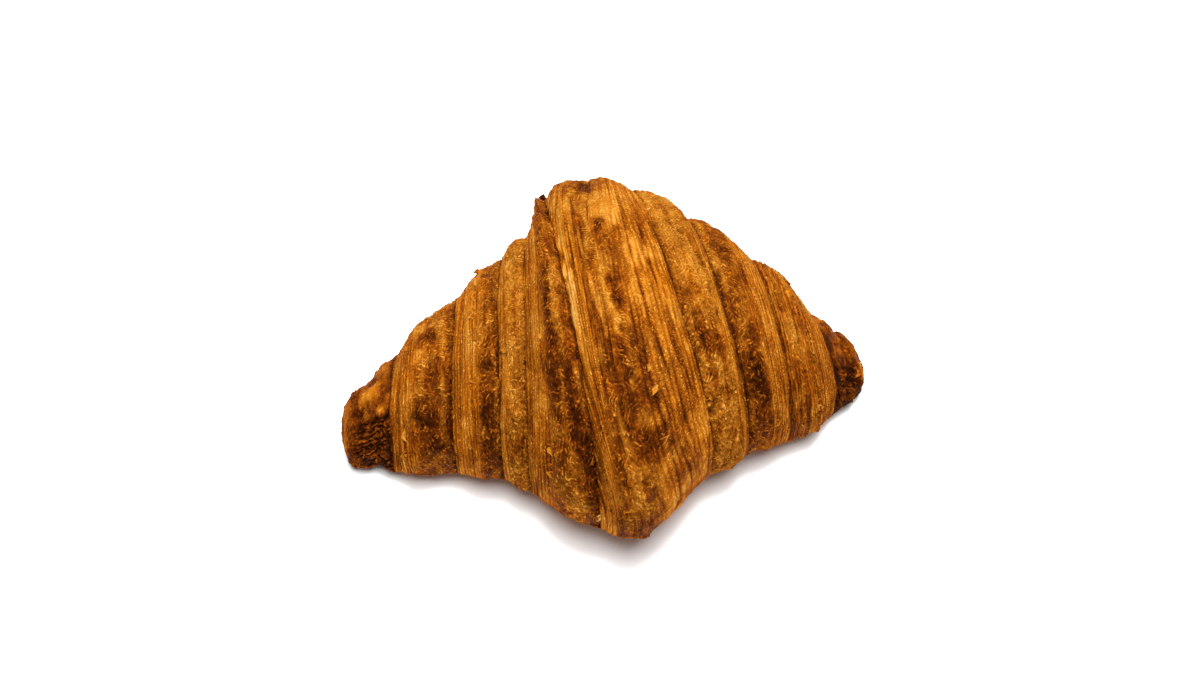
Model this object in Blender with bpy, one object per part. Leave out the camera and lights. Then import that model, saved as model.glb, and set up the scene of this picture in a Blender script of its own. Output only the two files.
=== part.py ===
"""A butter croissant as one solid.

The dough is rolled along X: wraps of dough climb in steps from two blunt tips to the
wide middle wrap, and each step is the cut edge of a wrap. The front faces -Y. The
underside is baked flat in the plane Z = 0, and the origin is the centre of the
footprint's box.
"""
from dataclasses import dataclass

import bpy
import numpy as np

MM = 0.001


@dataclass(frozen=True)
class Ring:
    """A ring round the roll, in millimetres and degrees.

    along, set_back: where it crosses the roll's middle, along X and towards the back
    turn: how far it is turned about the vertical; a positive one leans its back to -X
    half_width: from the middle to the front or the back
    faces: -1 where a cut edge climbs from here towards +X, +1 towards -X, 0 for none
    step: height of that cut edge
    riser: share of the wrap's width that the cut edge takes up
    """

    name: str
    along: float
    turn: float
    half_width: float
    set_back: float
    faces: int = 0
    step: float = 0.0
    riser: float = 0.0


RINGS = (
    Ring("left_tip", -68.5, -8.0, 12.0, -5.0),
    Ring("left_wrap_1", -59.5, -6.0, 17.5, -3.0, -1, 4.2, 0.40),
    Ring("left_wrap_2", -41.5, -5.0, 26.0, 1.0, -1, 3.7, 0.50),
    Ring("left_wrap_3", -28.5, -4.0, 32.0, 3.0, -1, 1.7, 0.30),
    Ring("left_wrap_4", -21.0, -4.0, 38.5, 4.0, -1, 4.6, 0.50),
    Ring("middle_wrap_left", -9.5, 4.5, 48.5, 0.5, -1, 3.7, 0.35),
    Ring("crown", 1.5, 3.0, 50.5, -1.0),
    Ring("middle_wrap_right", 19.0, 10.0, 43.5, 8.5, 1, 3.7, 0.60),
    Ring("right_wrap_1", 31.5, 9.0, 36.0, 7.5, 1, 2.0, 0.20),
    Ring("right_wrap_2", 47.0, 6.0, 27.5, 3.0, 1, 2.8, 0.45),
    Ring("right_wrap_3", 63.0, 8.0, 15.5, 0.5, 1, 3.7, 0.50),
    Ring("right_tip", 69.0, 13.0, 10.0, 1.0),
)

# How high the roll is for its width: nearly round at a tip, flatter where it is widest.
WIDEST = 105.0
TIP_ROUNDNESS = 0.92
CROWN_ROUNDNESS = 0.62
FLATTENING = 0.9

# A ring's outline: its widest level as a share of its height, and how square it is.
WIDEST_LEVEL = 0.44
TOP_SQUARENESS = 2.15
BOTTOM_SQUARENESS = 2.7
# The underside is pressed flat by this much as it bakes.
PRESSED = 1.8

# The tips are closed over these lengths.
LEFT_CAP = 6.5
RIGHT_CAP = 5.5
CAP_BLUNTNESS = 2.6
# The end point stands past the cap's last ring by this share of the cap.
END_POINT = 0.08

# The middle of each tread is puffed up by this much above a straight run.
TREAD_PUFF = 0.8
TREAD_MIDDLE = 0.5
# Steps are full height above the widest level and fade to this share under it.
STEP_UNDERNEATH = 0.2
FADE_LOW = -0.35
FADE_HIGH = 0.25

# A flap of dough lies over each tip and ends in a fold along its front.
FLAP_DEPTH = 1.4
FLAP_EDGE = np.radians(48.0)
FLAP_LOWER_EDGE = np.radians(125.0)
FLAP_SOFTNESS = np.radians(9.0)

# Broad swells of the crust: height, waves from tip to tip, waves round the roll, phase.
SWELLS = (
    (0.50, 3.0, 3, 0.4),
    (0.40, 5.0, 4, 2.1),
    (0.30, 8.0, 5, 4.0),
)

# Faceting
AROUND = 72
CAP_RINGS = 5
RISER_STATIONS = 2
TREAD_STATIONS = 3
SHARP_EDGE = np.radians(50.0)

CRUST_COLOUR = (0.48, 0.19, 0.035, 1.0)
CRUST_ROUGHNESS = 0.42


def through(knots: np.ndarray, values: np.ndarray, spots: np.ndarray) -> np.ndarray:
    """Smooth curve through the knots that never swings past a neighbour's value.

    It is a cubic on each span. Its slope at an inner knot is the harmonic mean of
    the two spans' slopes, or zero where they differ in sign.
    """
    span = np.diff(knots)
    slope = np.diff(values) / span
    tangent = np.empty_like(values)
    tangent[0] = slope[0]
    tangent[-1] = slope[-1]
    same_way = slope[:-1] * slope[1:] > 0.0
    total = np.where(same_way, slope[:-1] + slope[1:], 1.0)
    tangent[1:-1] = np.where(same_way, 2.0 * slope[:-1] * slope[1:] / total, 0.0)
    i = np.clip(np.searchsorted(knots, spots, side="right") - 1, 0, len(span) - 1)
    t = (spots - knots[i]) / span[i]
    return (
        (1.0 + 2.0 * t) * (1.0 - t) ** 2 * values[i]
        + t * (1.0 - t) ** 2 * span[i] * tangent[i]
        + t * t * (3.0 - 2.0 * t) * values[i + 1]
        - t * t * (1.0 - t) * span[i] * tangent[i + 1]
    )


def smooth_step(low: float, high: float, value: np.ndarray) -> np.ndarray:
    """0 below low, 1 above high, and a smooth S between them."""
    t = np.clip((value - low) / (high - low), 0.0, 1.0)
    return t * t * (3.0 - 2.0 * t)


def signed_power(value: np.ndarray, power: float) -> np.ndarray:
    """The value's size to a power, with the value's own sign."""
    return np.sign(value) * np.abs(value) ** power


def tread_span(index: int) -> tuple[float, float]:
    """Where the tread of the wrap between ring index and the next one starts and ends."""
    left = RINGS[index]
    right = RINGS[index + 1]
    start = index + (left.riser if left.faces < 0 else 0.0)
    end = index + 1 - (right.riser if right.faces > 0 else 0.0)
    return start, end


def step_heights(spots: np.ndarray) -> np.ndarray:
    """How far the stepped surface stands off the roll at each spot, counted in rings.

    Each cut edge climbs from half its step below the roll to half its step above it.
    The tread goes on from there, puffed up in its middle, to the next cut edge's foot.
    """
    places = []
    heights = []
    for index in range(len(RINGS) - 1):
        left = RINGS[index]
        right = RINGS[index + 1]
        start, end = tread_span(index)
        start_height = left.step / 2 if left.faces < 0 else -left.step / 2
        end_height = right.step / 2 if right.faces > 0 else -right.step / 2
        if left.faces < 0:
            places.append(index)
            heights.append(-left.step / 2)
        middle = start + TREAD_MIDDLE * (end - start)
        places += [start, middle, end]
        heights += [start_height, (start_height + end_height) / 2 + TREAD_PUFF, end_height]
        if right.faces > 0:
            places.append(index + 1)
            heights.append(-right.step / 2)
    return np.interp(spots, places, heights)


def stations() -> np.ndarray:
    """Spots of the loft's rings, closer on the cut edges than on the treads."""
    spots = []
    for index in range(len(RINGS) - 1):
        start, end = tread_span(index)
        if start > index:
            spots.append(np.linspace(index, start, RISER_STATIONS, endpoint=False))
        spots.append(np.linspace(start, end, TREAD_STATIONS, endpoint=False))
        if end < index + 1:
            spots.append(np.linspace(end, index + 1, RISER_STATIONS, endpoint=False))
    spots.append(np.array([len(RINGS) - 1.0]))
    return np.concatenate(spots)


def swell(spots: np.ndarray, angle: np.ndarray) -> np.ndarray:
    """Broad low swells of the crust: a sum of waves along the roll and round it."""
    along = 2.0 * np.pi * spots / (len(RINGS) - 1)
    height = np.zeros(np.broadcast(spots, angle).shape)
    for size, waves_along, waves_around, phase in SWELLS:
        height += size * np.sin(waves_along * along + phase) * np.cos(waves_around * angle + phase)
    return height


def flap_fold(spots: np.ndarray, angle: np.ndarray) -> np.ndarray:
    """How far the dough drops below the flap's fold on the front of both tips.

    It is full depth in the middle of each tip wrap and dies out at the tip's rim and
    at the next wrap; round the roll it starts at the flap's edge.
    """
    last = len(RINGS) - 1.0
    from_end = np.minimum(spots, last - spots)
    along = np.sin(np.pi * np.clip(from_end, 0.0, 1.0)) ** 2
    upper = smooth_step(FLAP_EDGE, FLAP_EDGE + FLAP_SOFTNESS, angle)
    lower = 1.0 - smooth_step(FLAP_LOWER_EDGE, FLAP_LOWER_EDGE + FLAP_SOFTNESS, angle)
    return FLAP_DEPTH * along * upper * lower


def roll_surface() -> np.ndarray:
    """Points of the closed roll as an array of rings, angles and coordinates.

    Angle 0 is the top and grows towards the front. Every ring is an upper and a lower
    half of a superellipse about its widest level, stood off by the steps and the swells,
    and turned about the vertical: a point set back from the ring's middle moves along X.
    """
    spots = stations()
    knots = np.arange(len(RINGS), dtype=float)
    along = through(knots, np.array([ring.along for ring in RINGS]), spots)
    turn = np.radians(through(knots, np.array([ring.turn for ring in RINGS]), spots))
    half_width = through(knots, np.array([ring.half_width for ring in RINGS]), spots)
    set_back = through(knots, np.array([ring.set_back for ring in RINGS]), spots)
    steps = step_heights(spots)

    # Both caps repeat the end ring, moved outwards as it shrinks.
    closing = np.sin(np.linspace(0.0, 1.0, CAP_RINGS + 1)[1:-1] * np.pi / 2)
    shrink = np.sqrt(1.0 - closing**CAP_BLUNTNESS)
    caps = len(closing)
    along = np.concatenate((
        along[0] - LEFT_CAP * closing[::-1], along, along[-1] + RIGHT_CAP * closing,
    ))
    shrink = np.concatenate((shrink[::-1], np.ones(len(spots)), shrink))[:, None]
    spots, turn, half_width, set_back, steps = (
        np.pad(values, caps, mode="edge")
        for values in (spots, turn, half_width, set_back, steps)
    )

    angle = np.linspace(-np.pi, np.pi, AROUND, endpoint=False)[None, :]
    across = np.sin(angle)
    upward = np.cos(angle)
    fullness = np.clip(2.0 * half_width / WIDEST, 0.0, 1.0) ** FLATTENING
    roundness = TIP_ROUNDNESS + (CROWN_ROUNDNESS - TIP_ROUNDNESS) * fullness
    height = (2.0 * half_width * roundness)[:, None]
    fade = STEP_UNDERNEATH + (1.0 - STEP_UNDERNEATH) * smooth_step(FADE_LOW, FADE_HIGH, upward)
    stand_off = steps[:, None] + swell(spots[:, None], angle)
    stand_off = fade * (stand_off - flap_fold(spots[:, None], angle))

    width = (half_width[:, None] + stand_off) * shrink
    above = ((1.0 - WIDEST_LEVEL) * height + stand_off) * shrink
    below = (WIDEST_LEVEL * height + stand_off) * shrink
    forward = width * signed_power(across, 2.0 / TOP_SQUARENESS)
    rise = np.where(
        upward > 0.0,
        above * signed_power(upward, 2.0 / TOP_SQUARENESS),
        below * signed_power(upward, 2.0 / BOTTOM_SQUARENESS),
    )
    level = WIDEST_LEVEL * height - PRESSED
    points = np.stack((
        along[:, None] + forward * np.tan(turn)[:, None],
        set_back[:, None] - forward,
        np.maximum(level + rise, 0.0),
    ), axis=-1)
    return points


def closed_mesh(name: str, rings: np.ndarray, ends: np.ndarray) -> bpy.types.Mesh:
    """A mesh over the rings, closed to a point at each end."""
    ring_count, around = rings.shape[:2]
    vertices = np.concatenate((rings.reshape(-1, 3), ends)) * MM
    index = np.arange(ring_count * around).reshape(ring_count, around)
    beside = np.roll(index, -1, axis=1)
    sides = np.stack((index[:-1], beside[:-1], beside[1:], index[1:]), axis=-1).reshape(-1, 4)
    left_pole = ring_count * around
    right_pole = left_pole + 1
    left_fan = np.stack((np.full(around, left_pole), beside[0], index[0]), axis=-1)
    right_fan = np.stack((np.full(around, right_pole), index[-1], beside[-1]), axis=-1)
    mesh = bpy.data.meshes.new(name)
    mesh.from_pydata(vertices.tolist(), [], sides.tolist() + left_fan.tolist() + right_fan.tolist())
    mesh.shade_smooth()
    mesh.set_sharp_from_angle(angle=SHARP_EDGE)
    mesh.validate()
    return mesh


def crust_material() -> bpy.types.Material:
    """Glazed golden-brown crust."""
    material = bpy.data.materials.new("crust")
    material.use_nodes = True
    shader = material.node_tree.nodes["Principled BSDF"]
    shader.inputs["Base Color"].default_value = CRUST_COLOUR
    shader.inputs["Roughness"].default_value = CRUST_ROUGHNESS
    shader.inputs["Metallic"].default_value = 0.0
    return material


def build_croissant() -> bpy.types.Object:
    """The whole pastry, its footprint's box centred on the origin."""
    rings = roll_surface()
    ends = np.stack((
        rings[0].mean(axis=0) - (LEFT_CAP * END_POINT, 0.0, 0.0),
        rings[-1].mean(axis=0) + (RIGHT_CAP * END_POINT, 0.0, 0.0),
    ))
    everything = np.concatenate((rings.reshape(-1, 3), ends))
    middle = (everything.min(axis=0) + everything.max(axis=0)) / 2
    shift = np.array((middle[0], middle[1], 0.0))
    croissant = bpy.data.objects.new("croissant", closed_mesh("croissant", rings - shift, ends - shift))
    croissant.data.materials.append(crust_material())
    bpy.context.scene.collection.objects.link(croissant)
    return croissant


for old in list(bpy.data.objects):
    bpy.data.objects.remove(old)
build_croissant()
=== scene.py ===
"""A butter croissant: its rolled wraps, cut layers, blistered crust and loose flakes.

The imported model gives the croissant's place and size. Each wrap of dough becomes one
closed shell whose surface is worked out on a grid: rows run across the wrap, from the
foot of its cut edge to under the next wrap, and columns run round the roll.
"""
import logging
from dataclasses import dataclass
from enum import Enum

import bpy
import numpy as np
from mathutils import Matrix, Vector


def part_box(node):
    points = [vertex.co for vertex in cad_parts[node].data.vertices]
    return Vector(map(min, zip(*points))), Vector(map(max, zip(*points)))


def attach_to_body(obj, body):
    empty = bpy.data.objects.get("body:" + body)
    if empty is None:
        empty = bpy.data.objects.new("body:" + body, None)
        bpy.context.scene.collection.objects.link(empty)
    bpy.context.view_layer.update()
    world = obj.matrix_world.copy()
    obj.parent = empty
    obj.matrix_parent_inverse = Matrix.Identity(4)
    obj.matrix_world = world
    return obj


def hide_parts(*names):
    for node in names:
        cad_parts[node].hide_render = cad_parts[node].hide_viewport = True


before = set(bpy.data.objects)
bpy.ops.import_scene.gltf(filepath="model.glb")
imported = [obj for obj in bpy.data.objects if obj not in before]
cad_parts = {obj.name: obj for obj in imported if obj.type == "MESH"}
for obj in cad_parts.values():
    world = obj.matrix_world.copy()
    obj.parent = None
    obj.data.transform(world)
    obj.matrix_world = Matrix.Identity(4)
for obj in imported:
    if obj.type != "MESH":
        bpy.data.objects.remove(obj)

LOG = logging.getLogger("croissant")
MM = 0.001
NODE = "croissant"
BODY = "root"
BAKE_STRIPS = 3
# The crust's darkness share carries painted shade and painted highlights as well as its colour.
CRUST_SHARES = ("browning", "gloss", "warmth", "beaded", "creased")
Array = np.ndarray


# ---------------------------------------------------------------- numbers on arrays


def smooth_step(low: float, high: float, value: Array) -> Array:
    """0 below low, 1 above high, and the cubic 3t^2 - 2t^3 between them.

    Args:
        low: value where the step starts.
        high: value where the step ends.
        value: where the step is read.

    Returns:
        The step at every value.
    """
    t = np.clip((value - low) / (high - low), 0.0, 1.0)
    return t * t * (3.0 - 2.0 * t)


def bell(value: Array, centre: float, spread: float) -> Array:
    """A bell of height 1 about centre: exp of minus the squared distance in spreads."""
    return np.exp(-(((value - centre) / spread) ** 2))


def signed_power(value: Array, power: float) -> Array:
    """The value's size to a power, with the value's own sign."""
    return np.sign(value) * np.abs(value) ** power


def through(knots: Array, values: Array, spots: Array) -> Array:
    """Cubic curve through the knots that never swings past a neighbour's value.

    The slope at an inner knot is the harmonic mean of the two spans' slopes, or zero
    where they differ in sign.

    Args:
        knots: places of the knots, rising.
        values: the curve's value at each knot.
        spots: where the curve is read.

    Returns:
        The curve at every spot.
    """
    span = np.diff(knots)
    slope = np.diff(values) / span
    tangent = np.empty(len(values))
    tangent[0] = slope[0]
    tangent[-1] = slope[-1]
    same_way = slope[:-1] * slope[1:] > 0.0
    total = np.where(same_way, slope[:-1] + slope[1:], 1.0)
    tangent[1:-1] = np.where(same_way, 2.0 * slope[:-1] * slope[1:] / total, 0.0)
    i = np.clip(np.searchsorted(knots, spots, side="right") - 1, 0, len(span) - 1)
    t = (spots - knots[i]) / span[i]
    return (
        (1.0 + 2.0 * t) * (1.0 - t) ** 2 * values[i]
        + t * (1.0 - t) ** 2 * span[i] * tangent[i]
        + t * t * (3.0 - 2.0 * t) * values[i + 1]
        - t * t * (1.0 - t) * span[i] * tangent[i + 1]
    )


def corner_hash(x: Array, y: Array, z: Array, seed: int) -> Array:
    """A repeatable 32-bit number for each corner of a cubic lattice.

    Args:
        x: corner index along the first axis, as uint32.
        y: corner index along the second axis, as uint32.
        z: corner index along the third axis, as uint32.
        seed: picks one of many patterns.

    Returns:
        One scrambled uint32 for each corner.
    """
    h = (x * np.uint32(374761393)) ^ (y * np.uint32(668265263)) ^ (z * np.uint32(2246822519))
    h = h ^ np.uint32((seed * 3266489917) % 2**32)
    h = (h ^ (h >> np.uint32(15))) * np.uint32(2246822519)
    h = (h ^ (h >> np.uint32(13))) * np.uint32(3266489917)
    return h ^ (h >> np.uint32(16))


def noise(x: Array, y: Array, z: Array, seed: int) -> Array:
    """Gradient noise: each lattice corner holds a slope, and the slopes are blended.

    Args:
        x: first coordinate, in features.
        y: second coordinate, in features.
        z: third coordinate, in features.
        seed: picks one of many patterns.

    Returns:
        A smooth field of about -1 to 1.
    """
    x, y, z = np.broadcast_arrays(x, y, z)
    low = [np.floor(c) for c in (x, y, z)]
    part = [c - f for c, f in zip((x, y, z), low)]
    ease = [t * t * t * (t * (t * 6.0 - 15.0) + 10.0) for t in part]
    cell = [f.astype(np.int64).astype(np.uint32) for f in low]
    total = np.zeros(x.shape)
    for corner in range(8):
        step = [(corner >> axis) & 1 for axis in range(3)]
        h = corner_hash(*[c + np.uint32(s) for c, s in zip(cell, step)], seed)
        dot = np.zeros(x.shape)
        weight = np.ones(x.shape)
        for axis in range(3):
            slope = ((h >> np.uint32(10 * axis)) & np.uint32(1023)) / 511.5 - 1.0
            dot += slope * (part[axis] - step[axis])
            weight *= ease[axis] if step[axis] else 1.0 - ease[axis]
        total += weight * dot
    return 1.6 * total


def fractal(x: Array, y: Array, z: Array, octaves: int, seed: int) -> Array:
    """Noise added to itself at twice the pitch and half the height, octaves times.

    Args:
        x: first coordinate, in features.
        y: second coordinate, in features.
        z: third coordinate, in features.
        octaves: how many layers are added.
        seed: picks one of many patterns.

    Returns:
        A field of about -1 to 1.
    """
    total = np.zeros(np.broadcast(x, y, z).shape)
    for octave in range(octaves):
        scale = 2.0**octave
        total += noise(x * scale, y * scale, z * scale, seed + octave) / scale
    return total


def scattered(x: Array, y: Array, z: Array, seed: int) -> tuple[Array, Array, Array]:
    """Distances to the two nearest of the points scattered one to each lattice cell.

    Args:
        x: first coordinate, in cells.
        y: second coordinate, in cells.
        z: third coordinate, in cells.
        seed: picks one of many patterns.

    Returns:
        Both distances in cells, and a number from 0 to 1 of the nearest point's own.
    """
    low = [np.floor(c) for c in (x, y, z)]
    cell = [f.astype(np.int64).astype(np.uint32) for f in low]
    nearest = np.full(x.shape, 9.0)
    second = np.full(x.shape, 9.0)
    own = np.zeros(x.shape)
    for neighbour in range(27):
        step = [neighbour // 3**axis % 3 - 1 for axis in range(3)]
        shifted = [c + np.uint32(s % 2**32) for c, s in zip(cell, step)]
        h = corner_hash(*shifted, seed)
        square = np.zeros(x.shape)
        for axis, c in enumerate((x, y, z)):
            jitter = ((h >> np.uint32(10 * axis)) & np.uint32(1023)) / 1023.0
            square += (low[axis] + step[axis] + jitter - c) ** 2
        closer = square < nearest
        second = np.where(closer, nearest, np.minimum(second, square))
        nearest = np.where(closer, square, nearest)
        own = np.where(closer, (h & np.uint32(4095)) / 4095.0, own)
    return np.sqrt(nearest), np.sqrt(second), own


# ---------------------------------------------------------------- the roll's large form


@dataclass(frozen=True)
class Ring:
    """A ring round the roll, in millimetres and degrees, as in the solid.

    along, set_back: where it crosses the roll's middle, along X and towards the back
    turn: how far it is turned about the vertical; a positive one leans its back to -X
    faces: -1 where a cut edge climbs from here towards +X, +1 towards -X, 0 for none
    step: height of that cut edge
    riser: share of the wrap's width that the cut edge takes up
    """

    along: float
    turn: float
    half_width: float
    set_back: float
    faces: int = 0
    step: float = 0.0
    riser: float = 0.0


RINGS = (
    Ring(-68.5, -8.0, 12.0, -5.0),
    Ring(-59.5, -6.0, 17.5, -3.0, -1, 4.2, 0.40),
    Ring(-41.5, -5.0, 26.0, 1.0, -1, 3.7, 0.50),
    Ring(-28.5, -4.0, 32.0, 3.0, -1, 1.7, 0.30),
    Ring(-21.0, -4.0, 38.5, 4.0, -1, 4.6, 0.50),
    Ring(-9.5, 4.5, 48.5, 0.5, -1, 3.7, 0.35),
    Ring(1.5, 3.0, 50.5, -1.0),
    Ring(19.0, 10.0, 43.5, 8.5, 1, 3.7, 0.60),
    Ring(31.5, 9.0, 36.0, 7.5, 1, 2.0, 0.20),
    Ring(47.0, 6.0, 27.5, 3.0, 1, 2.8, 0.45),
    Ring(63.0, 8.0, 15.5, 0.5, 1, 3.7, 0.50),
    Ring(69.0, 13.0, 10.0, 1.0),
)
LAST = len(RINGS) - 1


@dataclass(frozen=True)
class Roll:
    """The roll's large form, from its rings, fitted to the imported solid's box."""

    low: Vector
    high: Vector
    widest: float = 105.0
    tip_roundness: float = 0.92
    crown_roundness: float = 0.62
    flattening: float = 0.9
    widest_level: float = 0.44
    top_squareness: float = 2.15
    bottom_squareness: float = 2.7
    pressed: float = 1.8
    left_cap: float = 6.5
    right_cap: float = 5.5
    cap_bluntness: float = 2.6
    tread_puff: float = 0.8
    step_underneath: float = 0.2
    swells: tuple = ((0.50, 3.0, 3, 0.4), (0.40, 5.0, 4, 2.1), (0.30, 8.0, 5, 4.0))

    def fade(self, angle: Array) -> Array:
        """Share of a step's height round the roll: full on top, little underneath."""
        shape = smooth_step(-0.35, 0.25, np.cos(angle))
        return self.step_underneath + (1.0 - self.step_underneath) * shape

    def step_knots(self, first: int, last: int) -> tuple[Array, Array]:
        """Knots of the stepped run over one wrap, and their heights off the roll.

        A cut edge climbs from half its step below the roll to half its step above it.
        The tread goes on from there, puffed up in its middle, to the next edge's foot.

        Args:
            first: ring where the wrap starts.
            last: ring where it ends.

        Returns:
            Places counted in rings, and heights in millimetres.
        """
        left, right = RINGS[first], RINGS[last]
        places, heights = [float(first)], [-left.step / 2]
        if left.faces < 0:
            places.append(first + left.riser)
            heights.append(left.step / 2)
        end_height = -right.step / 2
        end = float(last)
        if right.faces > 0:
            end_height = right.step / 2
            end = last - right.riser
        places.append((places[-1] + end) / 2)
        heights.append((heights[-1] + end_height) / 2 + self.tread_puff)
        places.append(end)
        heights.append(end_height)
        if right.faces > 0:
            places.append(float(last))
            heights.append(-right.step / 2)
        return np.array(places), np.array(heights)

    def swell(self, spots: Array, angle: Array) -> Array:
        """Broad low swells: a sum of waves along the roll and round it.

        Args:
            spots: places along the roll, counted in rings.
            angle: angles round the roll.

        Returns:
            The swell's height in millimetres.
        """
        along = 2.0 * np.pi * np.clip(spots, 0.0, LAST) / LAST
        height = np.zeros(np.broadcast(spots, angle).shape)
        for size, waves_along, waves_around, phase in self.swells:
            wave = np.sin(waves_along * along + phase)
            height += size * wave * np.cos(waves_around * angle + phase)
        return height

    def skin(self, spots: Array, angle: Array, lift: Array, shrink: Array) -> Array:
        """Points of the roll in millimetres, before they are put in the solid's place.

        A ring is an upper and a lower half of a superellipse about its widest level,
        stood off by lift, drawn together by shrink and turned about the vertical. Past
        the first and the last ring the end ring is repeated, moved outwards along X.

        Args:
            spots: rows' places along the roll, counted in rings.
            angle: columns' angles: 0 is the top and it grows towards the front.
            lift: how far each point stands off the roll.
            shrink: 1 on the skin, 0 on the roll's middle line.

        Returns:
            An array of rows, columns and coordinates.
        """
        spots, angle, lift, shrink = np.broadcast_arrays(spots, angle, lift, shrink)
        rows = spots[:, 0]
        inside = np.clip(rows, 0.0, LAST)
        knots = np.arange(LAST + 1, dtype=float)
        turn = np.radians(through(knots, np.array([r.turn for r in RINGS]), inside))[:, None]
        half_width = through(knots, np.array([r.half_width for r in RINGS]), inside)[:, None]
        set_back = through(knots, np.array([r.set_back for r in RINGS]), inside)[:, None]
        along = through(knots, np.array([r.along for r in RINGS]), inside)
        outside = rows - inside
        along += outside * np.where(outside < 0.0, self.left_cap, self.right_cap)

        fullness = np.clip(2.0 * half_width / self.widest, 0.0, 1.0) ** self.flattening
        roundness = self.tip_roundness + (self.crown_roundness - self.tip_roundness) * fullness
        height = 2.0 * half_width * roundness
        across = np.sin(angle)
        upward = np.cos(angle)
        forward = (half_width + lift) * shrink * signed_power(across, 2.0 / self.top_squareness)
        above = ((1.0 - self.widest_level) * height + lift) * shrink
        below = (self.widest_level * height + lift) * shrink
        rise = np.where(
            upward > 0.0,
            above * signed_power(upward, 2.0 / self.top_squareness),
            below * signed_power(upward, 2.0 / self.bottom_squareness),
        )
        level = self.widest_level * height - self.pressed
        return np.stack((
            along[:, None] + forward * np.tan(turn),
            set_back - forward,
            level + rise,
        ), axis=-1)

    def closing(self, count: int) -> tuple[Array, Array]:
        """Steps out over a tip's cap, and how far the ring is drawn together at each.

        Args:
            count: number of steps.

        Returns:
            Shares of the cap, and shrinks: the root of one minus the share's power.
        """
        steps = np.sin(np.linspace(0.0, 1.0, count + 2)[1:-1] * np.pi / 2)
        return steps, np.sqrt(1.0 - steps**self.cap_bluntness)

    def span(self) -> tuple[Array, Array]:
        """Lowest and highest corner of the stepped roll in millimetres."""
        runs = [self.step_knots(first, first + 1) for first in range(LAST)]
        steps, shrink = self.closing(12)
        spots = np.concatenate((-steps, *(run[0] for run in runs), LAST + steps))
        lift = np.concatenate((0.0 * steps, *(run[1] for run in runs), 0.0 * steps))
        drawn = np.ones(len(spots))
        drawn[:12] = drawn[-12:] = shrink
        angle = np.linspace(-np.pi, np.pi, 180)[None, :]
        stand_off = self.fade(angle) * (lift[:, None] + self.swell(spots[:, None], angle))
        corners = self.skin(spots[:, None], angle, stand_off, drawn[:, None]).reshape(-1, 3)
        return corners.min(axis=0), corners.max(axis=0)

    def placed(self, points: Array) -> Array:
        """The points in metres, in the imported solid's place.

        The stepped roll's box is carried onto the solid's box in X and Y, and heights
        are kept over the plane that it rests on.

        Args:
            points: points in millimetres, from skin.

        Returns:
            The same points in metres.
        """
        low, high = self.span()
        middle = (low + high) / 2
        middle[2] = 0.0
        scale = np.array(self.high - self.low) / (high - low)
        scale[2] = self.high.z / high[2]
        centre = np.array(self.high + self.low) / 2
        centre[2] = self.low.z
        return (points - middle) * scale + centre


# ---------------------------------------------------------------- the crust on a grid


@dataclass
class Crust:
    """What varies over a wrap: relief in millimetres and shares for the finish."""

    height: Array
    browning: Array
    gloss: Array
    warmth: Array
    beaded: Array
    creased: Array


@dataclass(frozen=True)
class Grid:
    """A wrap's grid: rows across it, columns round the roll.

    spots: rows' places, counted in rings
    angle: columns' angles
    across: millimetres over the skin from the first exposed row
    exposed: 1 on rows that can be seen, 0 on rows tucked inside
    place: plain positions on the roll in millimetres
    """

    spots: Array
    angle: Array
    across: Array
    exposed: Array
    place: Array
    radius: float

    def off_pole(self) -> Array:
        """1 on the roll, falling to 0 over a tip's end face, where all angles meet."""
        past = np.maximum(-self.spots, self.spots - LAST)
        return 1.0 - smooth_step(0.70, 0.97, past)

    def along_lines(self, around_mm: float, across_mm: float, octaves: int, seed: int) -> Array:
        """Noise that follows the wrap: features around_mm long and across_mm wide.

        The angle becomes a circle of the wrap's own radius, so it closes underneath.

        Args:
            around_mm: size of a feature round the roll.
            across_mm: size of a feature across the wrap.
            octaves: how many layers of noise.
            seed: picks one of many patterns.

        Returns:
            A field over the grid.
        """
        x = self.radius * np.cos(self.angle) / around_mm
        y = self.radius * np.sin(self.angle) / around_mm
        return fractal(x, y, self.across / across_mm, octaves, seed)

    def in_space(self, size_mm: float, octaves: int, seed: int) -> Array:
        """Noise with features of one size in every direction.

        Args:
            size_mm: size of a feature.
            octaves: how many layers of noise.
            seed: picks one of many patterns.

        Returns:
            A field over the grid.
        """
        x, y, z = np.moveaxis(self.place / size_mm, -1, 0)
        return fractal(x, y, z, octaves, seed)

    def drawn_out(self, way: tuple, long_mm: float, wide_mm: float, octaves: int, seed: int) -> Array:
        """Noise drawn out along one direction in space.

        Args:
            way: the direction, of any length.
            long_mm: size of a feature along it.
            wide_mm: size of a feature square to it.
            octaves: how many layers of noise.
            seed: picks one of many patterns.

        Returns:
            A field over the grid.
        """
        unit = np.array(way) / np.linalg.norm(way)
        along = self.place @ unit
        across = self.place - along[..., None] * unit
        x, y, z = np.moveaxis(across / wide_mm + (along / long_mm)[..., None] * unit, -1, 0)
        return fractal(x, y, z, octaves, seed)


@dataclass(frozen=True)
class Patch:
    """A patch of crust on a wrap.

    across: where its middle is, as a share of the wrap from its first ring
    angle: where it is round the roll, in degrees from the top towards the front
    wide, long: its spreads, as a share of the wrap and in degrees
    darkness: how much darker it is; a negative one is paler
    rise: how far it stands out, in millimetres
    """

    across: float
    angle: float
    wide: float
    long: float
    browning: float
    rise: float = 0.0


@dataclass(frozen=True)
class Layers:
    """Leaves over a grid: height, grooves, crests, and each leaf's own numbers."""

    height: Array
    groove: Array
    crest: Array
    own: Array
    tone: Array


class End(Enum):
    """How an end of a wrap is finished."""

    CUT = "a cut edge that stands on the wrap below it"
    TUCKED = "carried on under the next wrap"
    TIP = "closed over the roll's tip"


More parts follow.
